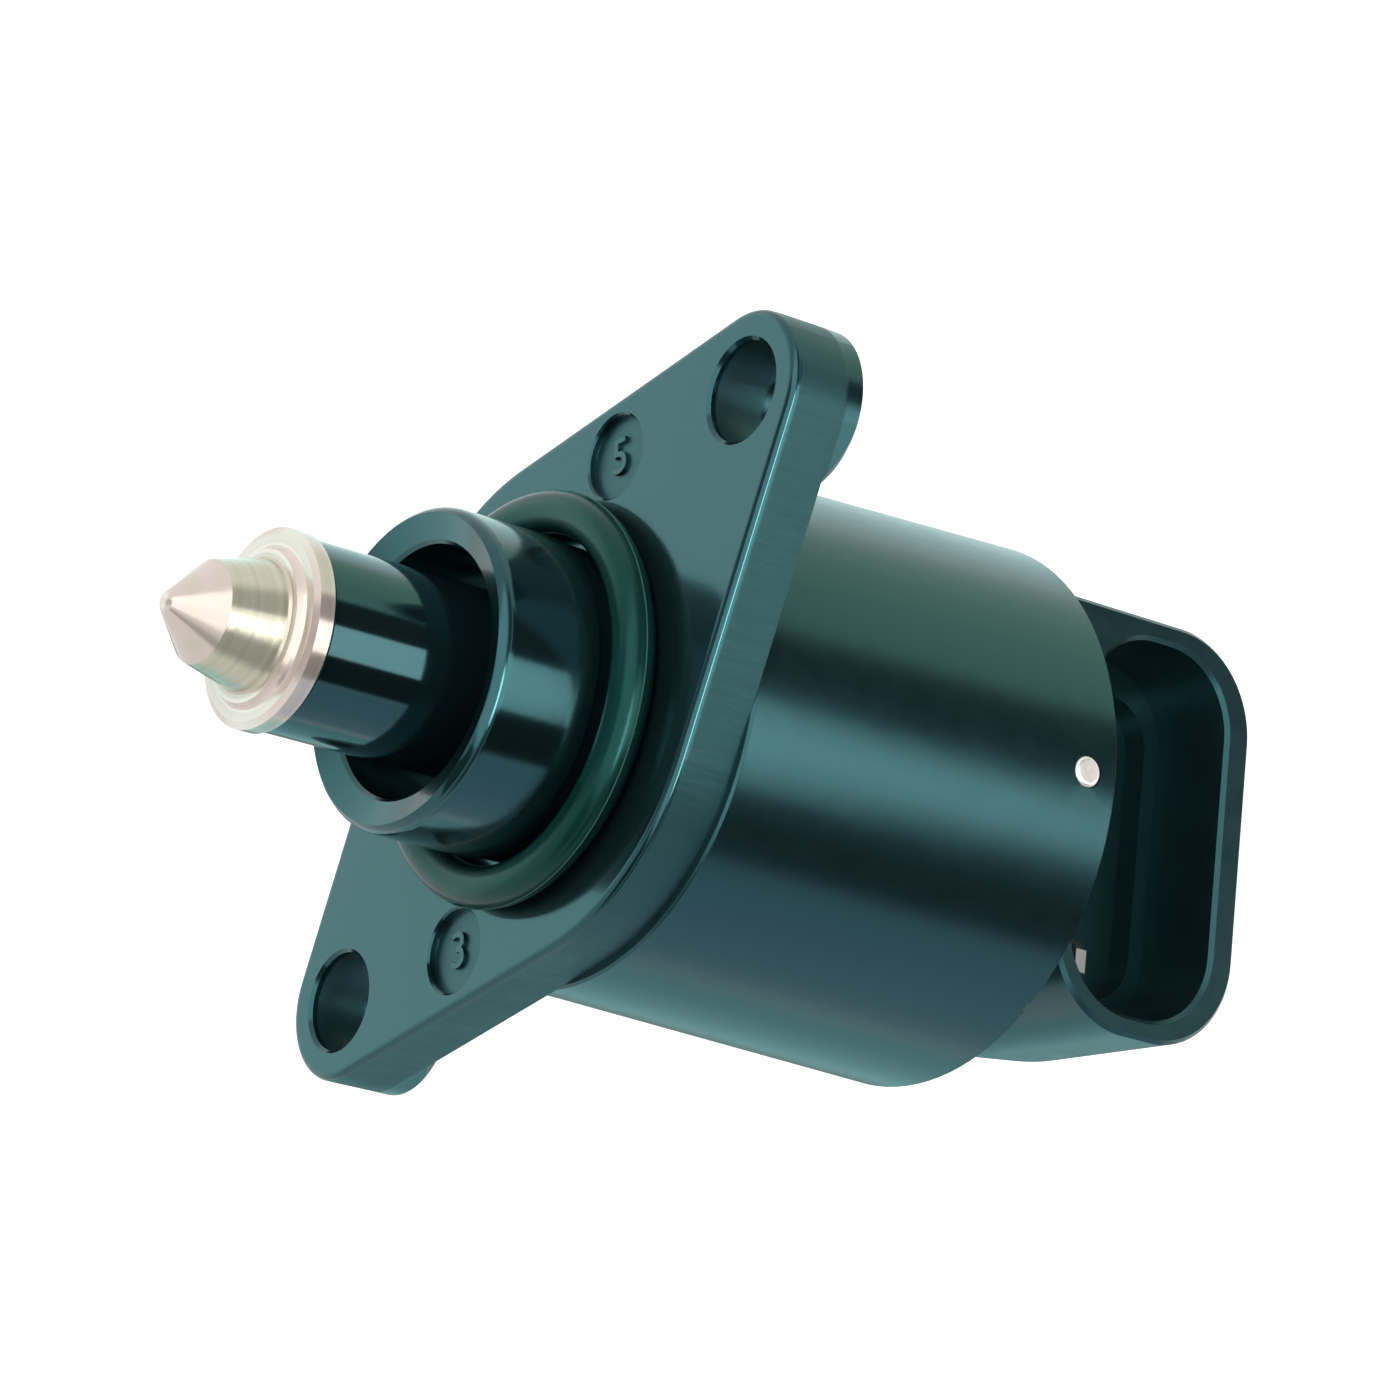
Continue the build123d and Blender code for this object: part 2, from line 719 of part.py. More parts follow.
def make_slope():
    """What the sloped back of the connector cuts away, down towards the cap."""
    slope_y = -SHROUD_RIM + SLOPE_START
    reach = SHROUD_DEPTH * 2
    outline = Polyline(
        [
            (slope_y, SHROUD_FAR - reach),
            (slope_y, SHROUD_FAR),
            (slope_y + reach, SHROUD_FAR + reach * tan(radians(SLOPE_ANGLE))),
            (slope_y + reach, SHROUD_FAR - reach),
        ],
        close=True,
    )
    return across(make_face(outline), 2 * SHROUD_LENGTH)


def make_connector():
    """The connector's shroud, with a mouth for the plug and a narrower well round the blades."""
    body = on_mouth(shroud_outline(), -SHROUD_RIM, SLOPE_END) - make_slope()
    length = SHROUD_LENGTH - 2 * END_WALL
    height = SHROUD_DEPTH - NEAR_WALL - FAR_WALL
    mouth = RectangleRounded(length, height, MOUTH_CORNER)
    well = RectangleRounded(length - 2 * LEDGE_END, height - 2 * LEDGE_SIDE, WELL_CORNER)
    body -= on_mouth(Pos(0, BLADE_Z) * mouth, -SHROUD_RIM, -SHROUD_RIM + LEDGE_DEPTH)
    body -= on_mouth(Pos(0, BLADE_Z) * well, -SHROUD_RIM, WELL_FLOOR_Y)
    body = chamfer(body.faces().sort_by(Axis.Y)[0].edges(), SHROUD_EDGE)
    return body + make_latch()


def make_seal_groove():
    """The groove round the spigot for the cap's sealing ring."""
    half = CAP_SEAL_R + SPIGOT_FIT
    floor_r = CAVITY_R - 2 * (CAP_SEAL_R + CAP_SEAL_SQUEEZE) - SPIGOT_FIT
    return tube(CAN_REAR_R, floor_r, RIM_Z + CAP_SEAL_Z - half, RIM_Z + CAP_SEAL_Z + half)


def make_rear_cap(terminals):
    """Plate, spigot, bush boss and connector, moulded in one piece round the terminals."""
    boss_front = BUSH_REAR + BUSH_LENGTH
    cap = make_connector() + disc(SPIGOT_R, RIM_Z, PLATE_FRONT)
    cap += tube(SPIGOT_R, SPIGOT_R - SPIGOT_WALL, PLATE_FRONT, STACK_REAR)
    cap += disc(BUSH_R + BUSH_GAP + BOSS_WALL, PLATE_FRONT, boss_front)
    cap -= disc(BUSH_R + BUSH_GAP, BUSH_REAR, boss_front)
    cap -= make_seal_groove()
    cap -= make_pin_holes(SPIGOT_R - PIN_BITE)
    return cap - terminals


def make_parts():
    """Every piece of the valve by its name."""
    terminals = [make_blade_and_leg(i) for i in range(TERMINAL_COUNT)]
    claw_turn = 180 / CLAW_COUNT
    parts = {
        "housing": make_housing(),
        "o_ring": make_o_ring(),
        "rear_cap": make_rear_cap(terminals),
        "cap_seal": make_cap_seal(),
        "retaining_pins": make_pins(),
        "race_spring": make_race_spring(),
        "bearing_outer_race": make_outer_race(),
        "bearing_inner_race": make_inner_race(),
        "bearing_balls": make_balls(),
        "bearing_cage": make_cage(),
        "front_pole_cup": make_pole_cup(STACK_FRONT, -1, 0),
        "front_pole_plate": make_pole_piece(STACK_MID, 1, claw_turn),
        "rear_pole_plate": make_pole_piece(STACK_MID, -1, claw_turn / 2),
        "rear_pole_cup": make_pole_cup(STACK_REAR, 1, claw_turn * 1.5),
        "front_bobbin": make_bobbin(STACK_FRONT - PLATE_T),
        "rear_bobbin": make_bobbin(STACK_MID - PLATE_T),
        "front_winding": make_winding(STACK_FRONT - PLATE_T),
        "rear_winding": make_winding(STACK_MID - PLATE_T),
        "rotor_magnet": make_magnet(),
        "rotor_hub": make_hub(),
        "rear_bush": make_rear_bush(),
        "lead_screw": make_lead_screw(),
        "pintle_sleeve": make_sleeve(),
        "pintle_tip": make_tip(),
    }
    for i, terminal in enumerate(terminals):
        parts["terminal_" + str(i + 1)] = terminal
    return parts


os.makedirs("parts", exist_ok=True)
for name, shape in make_parts().items():
    pieces = shape if isinstance(shape, list) else [shape]
    solids = [solid for piece in pieces for solid in piece.solids()]
    export_step(Compound(children=solids), "parts/" + name + ".step")
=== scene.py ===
import bpy
from math import cos, radians, sin
from mathutils import Matrix, Vector


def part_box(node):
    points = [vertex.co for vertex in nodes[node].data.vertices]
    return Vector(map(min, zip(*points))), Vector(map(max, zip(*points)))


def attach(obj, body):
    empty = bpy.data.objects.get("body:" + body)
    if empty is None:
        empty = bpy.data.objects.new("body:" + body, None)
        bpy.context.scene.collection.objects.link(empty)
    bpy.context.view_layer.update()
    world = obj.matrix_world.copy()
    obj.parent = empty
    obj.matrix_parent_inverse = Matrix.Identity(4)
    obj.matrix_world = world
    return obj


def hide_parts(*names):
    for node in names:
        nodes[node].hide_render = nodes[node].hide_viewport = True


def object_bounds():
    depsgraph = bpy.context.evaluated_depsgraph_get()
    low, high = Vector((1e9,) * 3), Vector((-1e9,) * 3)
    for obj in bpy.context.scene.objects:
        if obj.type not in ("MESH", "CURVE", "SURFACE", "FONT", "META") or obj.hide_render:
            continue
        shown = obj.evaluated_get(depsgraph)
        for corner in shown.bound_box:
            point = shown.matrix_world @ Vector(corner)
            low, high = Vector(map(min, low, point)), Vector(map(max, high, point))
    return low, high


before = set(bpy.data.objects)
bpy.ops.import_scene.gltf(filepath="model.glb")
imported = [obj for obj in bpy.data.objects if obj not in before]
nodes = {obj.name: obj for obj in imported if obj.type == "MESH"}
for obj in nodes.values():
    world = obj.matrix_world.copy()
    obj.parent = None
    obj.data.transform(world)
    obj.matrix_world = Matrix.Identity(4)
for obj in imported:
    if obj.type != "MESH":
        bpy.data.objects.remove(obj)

# Sizes are in metres, in the valve's own frame: +Z runs towards the pintle's tip.
MM = 0.001
MICRON = 0.000001
cad_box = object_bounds()
frame_materials = {material.name: material for material in bpy.data.materials}

# Camera, as the photograph was taken
CAMERA_PLACE = Vector((-79.483, -263.087, 182.504)) * MM
CAMERA_RIGHT = Vector((0.0955, -0.6104, -0.7863))
CAMERA_UP = Vector((0.9649, -0.1372, 0.2237))
CAMERA_LENS = 148.3
CAMERA_SENSOR = 36.0
CAMERA_REACH = (0.01, 100.0)

# Studio: a floor well below the held valve, a pale world, soft lamps, and cards that only
# reflections show
FLOOR_DROP = 0.40
FLOOR_HALF = 6.0
FLOOR_COLOUR = (0.8, 0.8, 0.8)
FLOOR_TOP_UP = 0.70
WORLD_LIGHT = 0.45
STAGE_CENTRE = Vector((0, 0, -15 * MM))
CARD_STEP = 5.0
NEUTRAL = (1.0, 1.0, 1.0)
PALE_TEAL = (0.78, 1.0, 0.99)
DEEP_TEAL = (0.52, 0.98, 1.0)
OLIVE = (0.76, 1.0, 0.80)
BLUE_GREY = (0.72, 0.85, 1.0)

# Black mouldings, which reflect teal
MOULDED_BASE = (0.004, 0.011, 0.013)
MOULDED_TINT = (0.32, 0.93, 1.0)
SLEEVE_TINT = (0.38, 0.93, 1.0)
GLOSSY_IOR = 1.8
CAP_IOR = 1.7
RUBBER_IOR = 1.4

# Roughness, from the smoothest spots to the roughest
SATIN = (0.20, 0.27)
GLASSY = (0.10, 0.16)
DULL = (0.38, 0.58)
CAP_SATIN = (0.24, 0.36)
POLISHED = (0.07, 0.12)
OILED = (0.18, 0.32)
PLATED = (0.12, 0.19)

# Heights between which the dull edge of the flange gives way to the can behind and the face before
FLANGE_THICK = 3.7 * MM
EDGE_TO_CAN = (-FLANGE_THICK - 0.2 * MM, -FLANGE_THICK + 0.1 * MM)
EDGE_TO_FACE = (-0.6 * MM, -0.4 * MM)

# The turned tip: the heights of its sage body, how fast the colour changes there, and its rings
TIP_PINK = (0.74, 0.63, 0.575)
TIP_SAGE = (0.60, 0.59, 0.46)
TIP_DARK_RING = (0.36, 0.33, 0.25)
TIP_METALLIC = 0.5
TIP_BODY_LOW = 19.5 * MM
TIP_BODY_HIGH = 22.7 * MM
TIP_FADE = 0.1 * MM
TURNING_SCALE = 4200

# Plain metals: base colour, roughness, and grain in waves a metre
METALS = {
    "bright_steel": ((0.78, 0.74, 0.68), 0.22, 4000),
    "pin_steel": ((0.96, 0.89, 0.86), 0.38, 4000),
    "bearing_steel": ((0.74, 0.74, 0.75), 0.10, 5000),
    "pole_steel": ((0.55, 0.55, 0.56), 0.34, 2500),
    "cage_brass": ((0.72, 0.56, 0.27), 0.30, 3000),
    "bush_bronze": ((0.58, 0.38, 0.20), 0.42, 3500),
    "tinned_brass": ((0.62, 0.60, 0.56), 0.32, 1200),
    "enamelled_wire": ((0.70, 0.28, 0.11), 0.24, 2500),
}

# Plain mouldings: base colour and roughness
PLASTICS = {
    "bobbin_plastic": ((0.68, 0.65, 0.55), 0.45),
    "hub_plastic": ((0.82, 0.80, 0.72), 0.40),
    "ferrite": ((0.060, 0.060, 0.065), 0.50),
}

# Rubbers: base colour and the tint of the gloss
RUBBERS = {
    "green_rubber": ((0.003, 0.034, 0.029), (0.30, 1.0, 0.90)),
    "black_rubber": ((0.012, 0.012, 0.012), (1.0, 1.0, 1.0)),
}

# The nodes that wear each finish
WORN_BY = {
    "housing_plastic": ["housing"],
    "cap_plastic": ["rear_cap"],
    "sleeve_plastic": ["pintle_sleeve"],
    "turned_metal": ["pintle_tip"],
    "green_rubber": ["o_ring"],
    "black_rubber": ["cap_seal"],
    "bright_steel": ["race_spring", "lead_screw"],
    "pin_steel": ["retaining_pins"],
    "bearing_steel": ["bearing_outer_race", "bearing_inner_race", "bearing_balls"],
    "pole_steel": ["front_pole_cup", "front_pole_plate", "rear_pole_plate", "rear_pole_cup"],
    "cage_brass": ["bearing_cage"],
    "bush_bronze": ["rear_bush"],
    "tinned_brass": ["terminal_1", "terminal_2", "terminal_3", "terminal_4"],
    "enamelled_wire": ["front_winding", "rear_winding"],
    "bobbin_plastic": ["front_bobbin", "rear_bobbin"],
    "hub_plastic": ["rotor_hub"],
    "ferrite": ["rotor_magnet"],
}

# Outer turns of the windings, and the mould line round the seal
WIRE = 0.24 * MM
WIRE_SUNK = 0.05 * MM
FLASH = 0.05 * MM
TURN_STEPS = 96
WIRE_SIDES = 8

# The screw's thread: a ridge of four sides that winds round a core
THREAD_LEAD = 1.0 * MM
THREAD_DEPTH = 0.32 * MM
THREAD_START = THREAD_DEPTH + THREAD_LEAD / 4
THREAD_STEPS = 48
RIDGE_SIDES = 4
CORE_DEPTH = 1.6 * THREAD_DEPTH
LATHE_STEPS = 64
SCREW_NECK = 1.4 * MM
SCREW_SHOULDER = 14.0 * MM

# The two numbers in the flange's recesses
MARK_ANGLE = -21.4
MARK_REACH = 14.9 * MM
MARK_FLOOR = -0.55 * MM
MARK_RELIEF = 0.20 * MM
MARK_EDGE = 0.03 * MM
MARK_HEIGHT = 3.1 * MM
MARK_LEAN = -82.0


def keep_in_scene(name, data):
    """A new object in the scene, made of some data."""
    piece = bpy.data.objects.new(name, data)
    bpy.context.scene.collection.objects.link(piece)
    return piece


def add_node(tree, kind, fed, **settings):
    """A node with its settings, and with inputs fed by name or number from sockets or plain values."""
    node = tree.nodes.new(kind)
    for setting, value in settings.items():
        setattr(node, setting, value)
    for label, value in fed.items():
        if isinstance(value, bpy.types.NodeSocket):
            tree.links.new(value, node.inputs[label])
        else:
            node.inputs[label].default_value = value
    return node


def add_math(tree, operation, first, second=0.0):
    """A sum or the like of two values, each a number or a socket."""
    node = add_node(tree, "ShaderNodeMath", {0: first, 1: second}, operation=operation)
    return node.outputs[0]


def new_material(name):
    """A material, and its tree with the nodes that a new one has."""
    material = bpy.data.materials.new(name)
    material.use_nodes = True
    return material, material.node_tree


def make_camera():
    """The camera, turned as its right and up directions say."""
    data = bpy.data.cameras.new("camera")
    data.lens = CAMERA_LENS
    data.sensor_width = CAMERA_SENSOR
    data.clip_start, data.clip_end = CAMERA_REACH
    camera = keep_in_scene("camera", data)
    back = CAMERA_RIGHT.cross(CAMERA_UP).normalized()
    right = CAMERA_UP.cross(back).normalized()
    up = back.cross(right)
    turn = Matrix((right, up, back)).transposed().to_4x4()
    camera.matrix_world = Matrix.Translation(CAMERA_PLACE) @ turn
    bpy.context.scene.camera = camera


def direction(azimuth, elevation):
    """A unit direction from degrees: azimuth from +X towards +Y, elevation above the XY plane."""
    a = radians(azimuth)
    e = radians(elevation)
    return Vector((cos(a) * cos(e), sin(a) * cos(e), sin(e)))


def add_lamp(name, azimuth, elevation, distance, size, strength):
    """A soft square lamp aimed at the valve. Its own shape shows in no reflection."""
    data = bpy.data.lights.new(name, "AREA")
    data.size = size
    data.energy = strength
    lamp = keep_in_scene(name, data)
    lamp.visible_camera = False
    lamp.visible_glossy = False
    away = direction(azimuth, elevation)
    turn = away.to_track_quat("Z", "Y").to_matrix().to_4x4()
    lamp.matrix_world = Matrix.Translation(STAGE_CENTRE + away * distance) @ turn


def card_mesh(name, azimuths, elevations, distance):
    """A bent sheet round the valve between two azimuths and two elevations, with UV from 0 to 1."""
    columns = max(2, round(abs(azimuths[1] - azimuths[0]) / CARD_STEP))
    rows = max(2, round(abs(elevations[1] - elevations[0]) / CARD_STEP))
    places = []
    for j in range(rows + 1):
        for i in range(columns + 1):
            azimuth = azimuths[0] + (azimuths[1] - azimuths[0]) * i / columns
            elevation = elevations[0] + (elevations[1] - elevations[0]) * j / rows
            places.append(STAGE_CENTRE + direction(azimuth, elevation) * distance)
    faces = []
    for j in range(rows):
        for i in range(columns):
            first = j * (columns + 1) + i
            faces.append((first, first + 1, first + columns + 2, first + columns + 1))
    mesh = bpy.data.meshes.new(name)
    mesh.from_pydata(places, [], faces)
    layer = mesh.uv_layers.new(name="UVMap")
    for loop in mesh.loops:
        j, i = divmod(loop.vertex_index, columns + 1)
        layer.data[loop.index].uv = (i / columns, j / rows)
    return mesh


def feathered_glow(name, colour, level, feather):
    """Light of one colour that fades out towards the card's four edges."""
    material, tree = new_material(name)
    tree.nodes.clear()
    place = add_node(tree, "ShaderNodeTexCoord", {})
    split = add_node(tree, "ShaderNodeSeparateXYZ", {"Vector": place.outputs["UV"]})
    shares = []
    for across in (split.outputs[0], split.outputs[1]):
        nearest = add_math(tree, "MINIMUM", across, add_math(tree, "SUBTRACT", 1.0, across))
        fade = add_node(tree, "ShaderNodeMapRange", {"Value": nearest, "From Max": feather},
                        interpolation_type="SMOOTHSTEP")
        shares.append(fade.outputs["Result"])
    share = add_math(tree, "MULTIPLY", shares[0], shares[1])
    glow = add_node(tree, "ShaderNodeEmission", {"Color": (*colour, 1), "Strength": level})
    clear = add_node(tree, "ShaderNodeBsdfTransparent", {})
    both = add_node(tree, "ShaderNodeMixShader", {0: share, 1: clear.outputs[0], 2: glow.outputs[0]})
    add_node(tree, "ShaderNodeOutputMaterial", {"Surface": both.outputs[0]})
    return material


def add_card(name, azimuths, elevations, distance, colour, level, feather):
    """A card that only reflections show: a light band, or a dark one where its level is low."""
    mesh = card_mesh(name, azimuths, elevations, distance)
    mesh.materials.append(feathered_glow(name, colour, level, feather))
    card = keep_in_scene(name, mesh)
    card.visible_camera = False
    card.visible_diffuse = False
    card.visible_shadow = False
    card.visible_transmission = False


def shown_rays(tree):
    """1 for rays that see the backdrop: from the camera, off gloss or through glass."""
    rays = add_node(tree, "ShaderNodeLightPath", {}).outputs
    seen = add_math(tree, "MAXIMUM", rays["Is Camera Ray"], rays["Is Glossy Ray"])
    return add_math(tree, "MAXIMUM", seen, rays["Is Transmission Ray"])


def make_world():
    """White where it is seen, and a plain soft light elsewhere."""
    world = bpy.data.worlds.new("studio")
    world.use_nodes = True
    tree = world.node_tree
    fed = {"Value": shown_rays(tree), "To Min": WORLD_LIGHT, "To Max": 1.0}
    level = add_node(tree, "ShaderNodeMapRange", fed)
    ground = tree.nodes["Background"]
    ground.inputs["Color"].default_value = (1, 1, 1, 1)
    tree.links.new(level.outputs["Result"], ground.inputs["Strength"])
    bpy.context.scene.world = world


def make_floor():
    """A pale floor that is topped up to white where it is seen, and keeps the valve's shadow."""
    mesh = bpy.data.meshes.new("floor")
    h = FLOOR_HALF
    mesh.from_pydata([(-h, -h, 0), (h, -h, 0), (h, h, 0), (-h, h, 0)], [], [(0, 1, 2, 3)])
    mesh.transform(Matrix.Translation((0, 0, cad_box[0].z - FLOOR_DROP)))
    floor = keep_in_scene("floor", mesh)
    material, tree = new_material("floor")
    tree.nodes.clear()
    top_up = add_math(tree, "MULTIPLY", shown_rays(tree), FLOOR_TOP_UP)
    matt = add_node(tree, "ShaderNodeBsdfDiffuse", {"Color": (*FLOOR_COLOUR, 1)})
    glow = add_node(tree, "ShaderNodeEmission", {"Strength": top_up})
    both = add_node(tree, "ShaderNodeAddShader", {0: matt.outputs[0], 1: glow.outputs[0]})
    add_node(tree, "ShaderNodeOutputMaterial", {"Surface": both.outputs[0]})
    mesh.materials.append(material)


def make_lights():
    """Lamps for the matt surfaces and the shadows, and cards for the bands along the round walls."""
    # Each lamp: azimuth, elevation, distance, size and strength
    add_lamp("key_lamp", -60, 55, 0.70, 0.40, 3.0)
    add_lamp("back_lamp", 72, 40, 0.70, 0.50, 2.0)
    # Each card: azimuths, elevations, distance, colour, level, and the share that fades at an edge
    add_card("strip_for_nose", (-79, -117), (-31.5, 6), 0.30, NEUTRAL, 3.1, 0.08)
    add_card("strip_for_can", (-86, -106), (-39, -30.5), 0.30, NEUTRAL, 2.9, 0.20)
    add_card("edge_line", (-84, -132), (5, 19), 0.34, NEUTRAL, 14.0, 0.30)
    add_card("brow", (-28, -150), (18, 71), 0.36, NEUTRAL, 2.1, 0.10)
    add_card("dark_for_cone", (-146, -190), (20, 58), 0.35, OLIVE, 0.12, 0.12)
    add_card("dark_brow", (-25, -190), (-6, 16), 0.37, NEUTRAL, 0.20, 0.15)
    add_card("dark_sky", (-180, 180), (70, 89), 0.45, NEUTRAL, 0.25, 0.10)
    add_card("dark_upper", (-46, -86), (-55, -6), 0.33, NEUTRAL, 0.05, 0.18)
    add_card("dark_lower", (-107, -150), (-55, -6), 0.33, NEUTRAL, 0.02, 0.12)
    add_card("olive_table", (20, -58), (-60, -8), 0.38, OLIVE, 0.98, 0.25)
    add_card("upper_table", (16, 70), (-60, -8), 0.39, PALE_TEAL, 1.35, 0.18)
    add_card("behind_table", (70, 101), (-60, -8), 0.38, PALE_TEAL, 0.36, 0.10)
    add_card("lower_table", (92, 152), (-60, -8), 0.39, DEEP_TEAL, 0.88, 0.12)
    add_card("blue_table", (-140, -214), (-60, -8), 0.38, BLUE_GREY, 0.86, 0.20)
    add_card("face_glow", (20, 125), (12, 60), 0.60, PALE_TEAL, 1.5, 0.20)


class Finish:
    """A procedural material with its nodes close at hand.

    Its plain colour and roughness show where nothing varies them.
    """

    def __init__(self, name, base, roughness, metallic=0.0):
        self.material, self.tree = new_material(name)
        self.shader = self.tree.nodes["Principled BSDF"]
        self.shader.inputs["Base Color"].default_value = (*base, 1)
        self.shader.inputs["Roughness"].default_value = roughness
        self.shader.inputs["Metallic"].default_value = metallic
        self.place = add_node(self.tree, "ShaderNodeTexCoord", {}).outputs["Object"]

    def gloss(self, ior, tint):
        """How strongly the surface reflects, and in what tint."""
        self.shader.inputs["IOR"].default_value = ior
        self.shader.inputs["Specular Tint"].default_value = (*tint, 1)

    def link(self, source, socket):
        """Feeds one of the shader's sockets."""
        self.tree.links.new(source, self.shader.inputs[socket])

    def math(self, operation, first, second=0.0):
        """A sum or the like of two values, each a number or a socket."""
        return add_math(self.tree, operation, first, second)

    def noise(self, scale, detail=3.0, stretch=(1, 1, 1)):
        """Noise from 0 to 1, with a scale in waves a metre."""
        place = add_node(self.tree, "ShaderNodeMapping", {"Vector": self.place, "Scale": stretch})
        fed = {"Vector": place.outputs["Vector"], "Scale": scale, "Detail": detail}
        return add_node(self.tree, "ShaderNodeTexNoise", fed).outputs["Fac"]

    def ring_noise(self, along, scale):
        """Uneven rings: noise along one length only."""
        noise = add_node(self.tree, "ShaderNodeTexNoise", {}, noise_dimensions="1D")
        noise.inputs["Scale"].default_value = scale
        noise.inputs["Detail"].default_value = 3.0
        self.tree.links.new(along, noise.inputs["W"])
        return noise.outputs["Fac"]

    def between(self, value, low, high, span=(0.0, 1.0)):
        """Carries a value from one span to another, held at its ends."""
        fed = {"Value": value, "From Min": span[0], "From Max": span[1], "To Min": low, "To Max": high}
        return add_node(self.tree, "ShaderNodeMapRange", fed).outputs["Result"]

    def place_parts(self):
        """The place's two parts across the valve's axis and its height along it, in metres."""
        return add_node(self.tree, "ShaderNodeSeparateXYZ", {"Vector": self.place}).outputs

    def mix(self, share, first, second):
        """A colour between two, by a share."""
        node = add_node(self.tree, "ShaderNodeMix", {"Factor": share}, data_type="RGBA")
        for name, value in (("A", first), ("B", second)):
            socket = [s for s in node.inputs if s.name == name and s.type == "RGBA"][0]
            if isinstance(value, tuple):
                socket.default_value = (*value, 1)
            else:
                self.tree.links.new(value, socket)
        return [s for s in node.outputs if s.type == "RGBA"][0]

    def bump(self, height, depth):
        """Relief from a height between 0 and 1, on top of any earlier one, with a depth in metres."""
        node = add_node(self.tree, "ShaderNodeBump", {"Height": height, "Distance": depth})
        normal = self.shader.inputs["Normal"]
        if normal.is_linked:
            self.tree.links.new(normal.links[0].from_socket, node.inputs["Normal"])
        self.tree.links.new(node.outputs["Normal"], normal)

    def vary_roughness(self, low, high, scale, detail=3.0):
        """A roughness that wanders between two values."""
        self.link(self.between(self.noise(scale, detail), low, high), "Roughness")

    def vary_base(self, first, second, scale):
        """A base colour that wanders between two."""
        self.link(self.mix(self.noise(scale), first, second), "Base Color")


def shade(colour, share):
    """A colour, darkened to a share of itself."""
    return tuple(share * part for part in colour)


def housing_plastic():
    """Glassy on the flange's face and the collar, satin on the can, dull along the flange's edge."""
    f = Finish("housing_plastic", MOULDED_BASE, roughness=0.2)
    f.gloss(GLOSSY_IOR, MOULDED_TINT)
    height = f.place_parts()[2]
    behind = f.between(height, 1.0, 0.0, EDGE_TO_CAN)
    before = f.between(height, 0.0, 1.0, EDGE_TO_FACE)
    on_edge = f.math("SUBTRACT", f.math("SUBTRACT", 1.0, behind), before)
    satin = f.between(f.noise(scale=900), *SATIN)
    glassy = f.between(f.noise(scale=400), *GLASSY)
    dull = f.between(f.noise(scale=500, detail=5.0), *DULL)
    shares = ((satin, behind), (glassy, before), (dull, on_edge))
    parts = [f.math("MULTIPLY", value, share) for value, share in shares]
    f.link(f.math("ADD", f.math("ADD", parts[0], parts[1]), parts[2]), "Roughness")
    f.bump(f.noise(scale=160, detail=2.0), depth=20 * MICRON)
    f.bump(f.noise(scale=3500, detail=2.0), depth=1 * MICRON)
    streaks = f.noise(scale=1500, detail=3.0, stretch=(1, 1, 0.12))
    f.bump(f.math("MULTIPLY", streaks, on_edge), depth=35 * MICRON)
    return f.material


def cap_plastic():
    """The cap's moulding, a little duller than the housing."""
    f = Finish("cap_plastic", MOULDED_BASE, roughness=0.28)
    f.gloss(CAP_IOR, MOULDED_TINT)
    f.vary_roughness(*CAP_SATIN, scale=700)
    f.bump(f.noise(scale=200, detail=2.0), depth=20 * MICRON)
    f.bump(f.noise(scale=3500, detail=2.0), depth=1.5 * MICRON)
    return f.material


def sleeve_plastic():
    """Polished black barrel that mirrors sharp bands."""
    f = Finish("sleeve_plastic", MOULDED_BASE, roughness=0.08)
    f.gloss(GLOSSY_IOR, SLEEVE_TINT)
    f.vary_roughness(*POLISHED, scale=600)
    f.bump(f.noise(scale=250, detail=2.0), depth=6 * MICRON)
    return f.material


def seal_rubber(name, base, tint):
    """Moulded rubber with a thin film of oil."""
    f = Finish(name, base, roughness=0.3)
    f.gloss(RUBBER_IOR, tint)
    f.vary_base(base, shade(base, 0.6), scale=500)
    f.vary_roughness(*OILED, scale=1500)
    f.bump(f.noise(scale=2500, detail=2.0), depth=2 * MICRON)
    return f.material


def turned_metal():
    """Turned and thinly plated tip: pinkish silver, sage on the body, with fine rings from the tool."""
    f = Finish("turned_metal", TIP_PINK, roughness=0.25, metallic=TIP_METALLIC)
    x, y, height = f.place_parts()
    reach = f.math("SQRT", f.math("ADD", f.math("MULTIPLY", x, x), f.math("MULTIPLY", y, y)))
    rings = f.ring_noise(f.math("ADD", reach, height), TURNING_SCALE)
    above = f.between(height, 0.0, 1.0, (TIP_BODY_LOW - TIP_FADE, TIP_BODY_LOW + TIP_FADE))
    below = f.between(height, 1.0, 0.0, (TIP_BODY_HIGH - TIP_FADE, TIP_BODY_HIGH + TIP_FADE))
    plain = f.mix(f.math("MULTIPLY", above, below), TIP_PINK, TIP_SAGE)
    patches = f.between(f.noise(scale=330, detail=2.0, stretch=(1, 1, 3)), 0.0, 0.55, (0.45, 0.75))
    plated = f.mix(patches, plain, TIP_SAGE)
    f.link(f.mix(f.between(rings, 0.0, 0.45, (0.35, 0.75)), plated, TIP_DARK_RING), "Base Color")
    f.vary_roughness(*PLATED, scale=900, detail=2.0)
    f.bump(rings, depth=4 * MICRON)
    f.bump(f.noise(scale=5200, detail=2.0, stretch=(0.1, 0.1, 6)), depth=1.5 * MICRON)
    return f.material


def metal(name, base, roughness, grain):
    """Plain metal with a fine grain."""
    f = Finish(name, base, roughness, metallic=1.0)
    f.vary_roughness(roughness * 0.75, roughness * 1.3, scale=grain)
    f.vary_base(base, shade(base, 0.85), scale=grain / 8)
    f.bump(f.noise(scale=grain * 2), depth=0.5 * MICRON)
    return f.material


def plain_plastic(name, base, roughness):
    """Uncoloured moulding of the inner pieces."""
    f = Finish(name, base, roughness)
    f.vary_base(base, shade(base, 0.9), scale=300)
    f.vary_roughness(roughness * 0.85, roughness * 1.2, scale=1200)
    f.bump(f.noise(scale=2600), depth=4 * MICRON)
    return f.material


